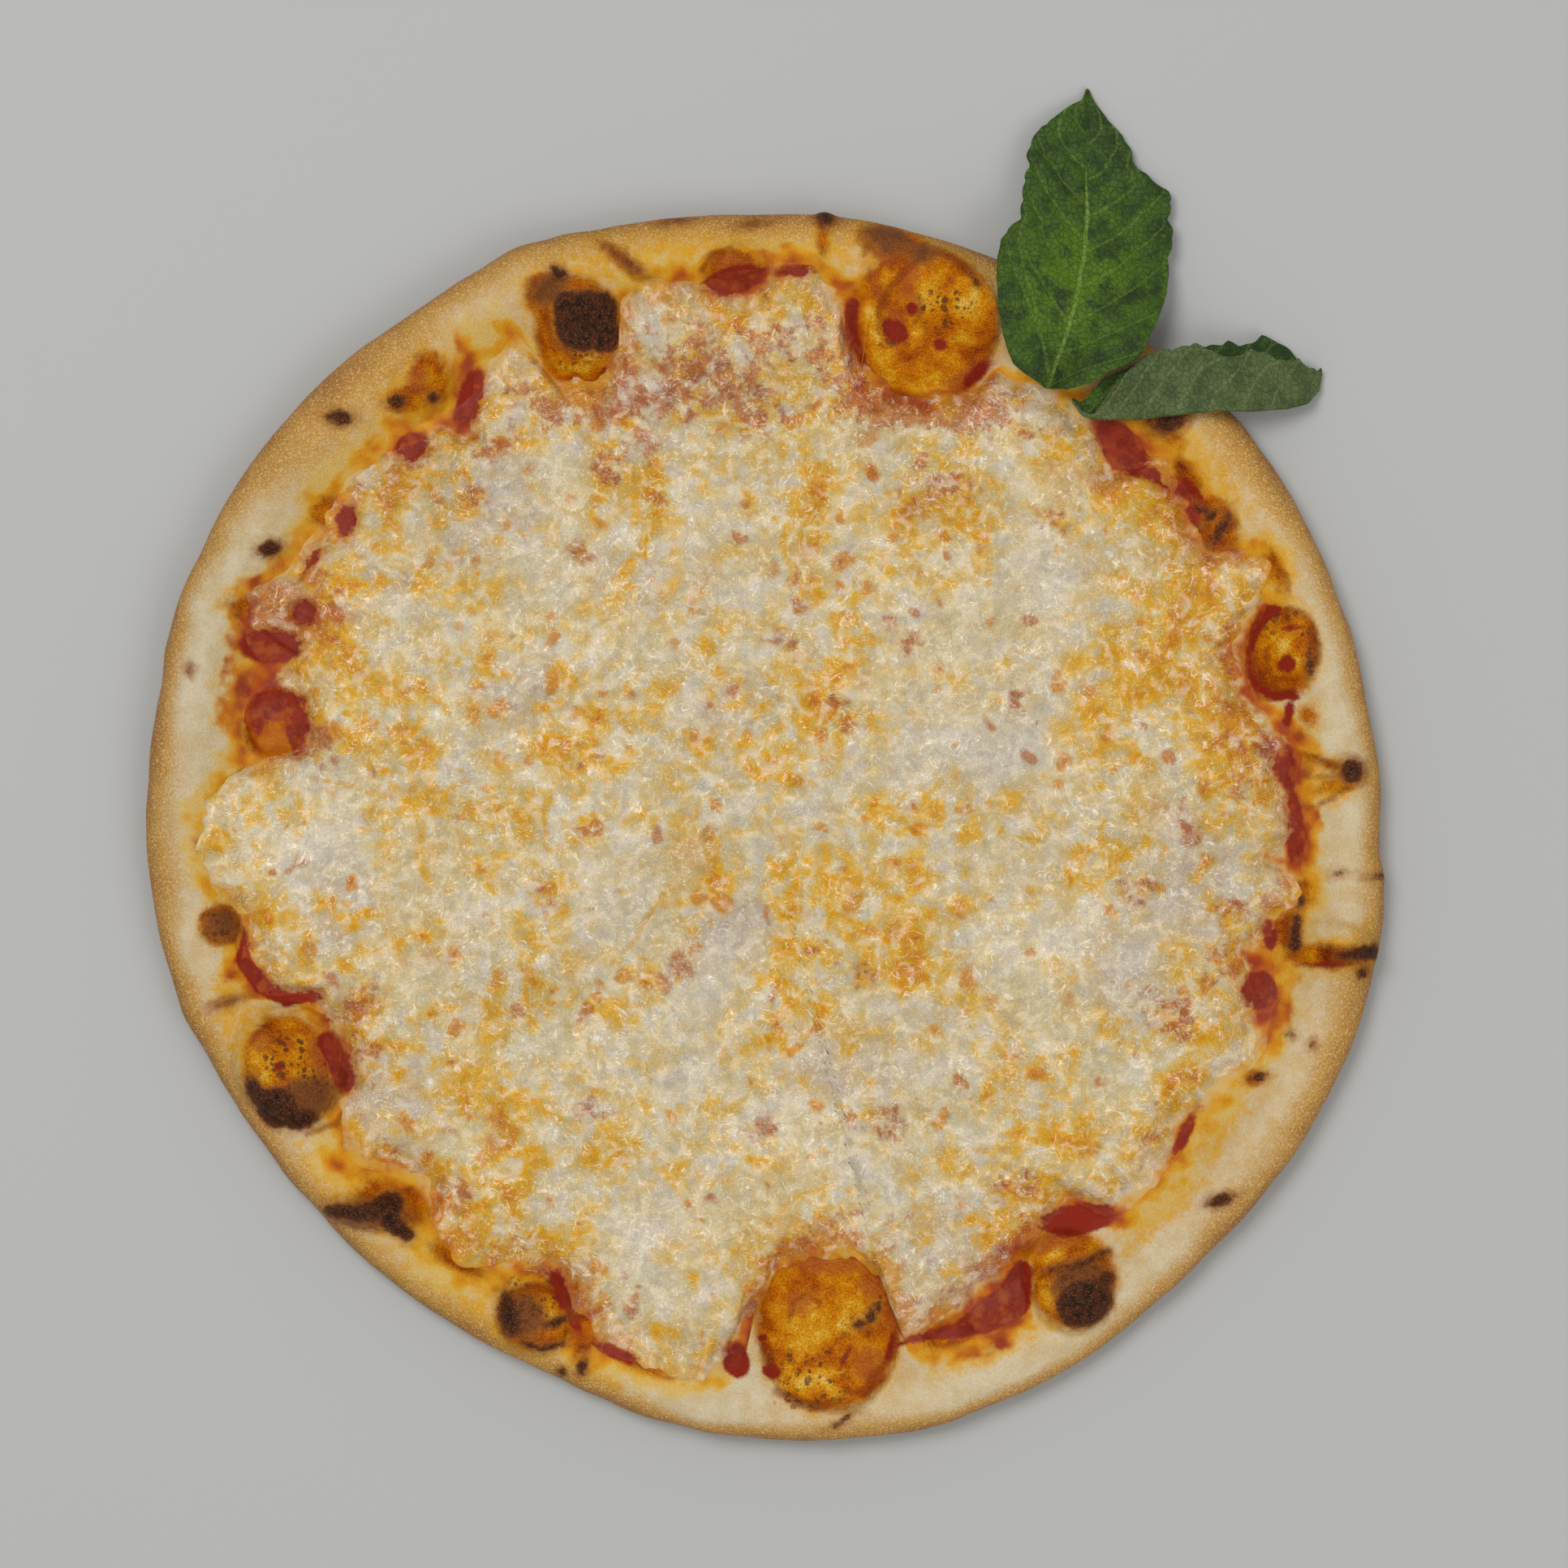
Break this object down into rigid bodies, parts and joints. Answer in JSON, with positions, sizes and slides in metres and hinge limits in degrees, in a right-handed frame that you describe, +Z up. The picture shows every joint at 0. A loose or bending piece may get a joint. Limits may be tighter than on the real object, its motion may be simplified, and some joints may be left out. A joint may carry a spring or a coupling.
{
  "type": "cheese pizza",
  "caption": "Whole uncut round cheese pizza with a blistered golden rim, tomato sauce showing round the edge of the melted cheese, and fresh basil leaves lying over the rim.",
  "frame": {"origin": "middle of the flat underside, which is the middle of the round dough", "axes": "+Z up out of the cheese; +Y towards the top of the picture, where the basil leaves lie on the +X +Y side of the rim; +X to the picture's right"},
  "size_m": [0.3057, 0.3347, 0.0189],
  "materials": {
    "baked_dough": "dry baked dough, pale cream inside and golden brown at the edge, with fine grainy sparkle and dark charred blisters",
    "tomato_sauce": "wet cooked tomato, glossy and dark red",
    "melted_cheese": "melted mozzarella, cream with yellow and orange oil, satin with small wet highlights",
    "basil_top": "upper side of a basil leaf, dark green with paler veins, soft sheen",
    "basil_underside": "underside of a basil leaf, grey green and matt, with raised veins"
  },
  "bodies": {
    "root": {"dough_crust": "baked_dough", "tomato_sauce": "tomato_sauce", "melted_cheese": "melted_cheese", "basil_leaf_open": "basil_top", "basil_leaf_folded": "basil_underside"}
  },
  "joints": []
}
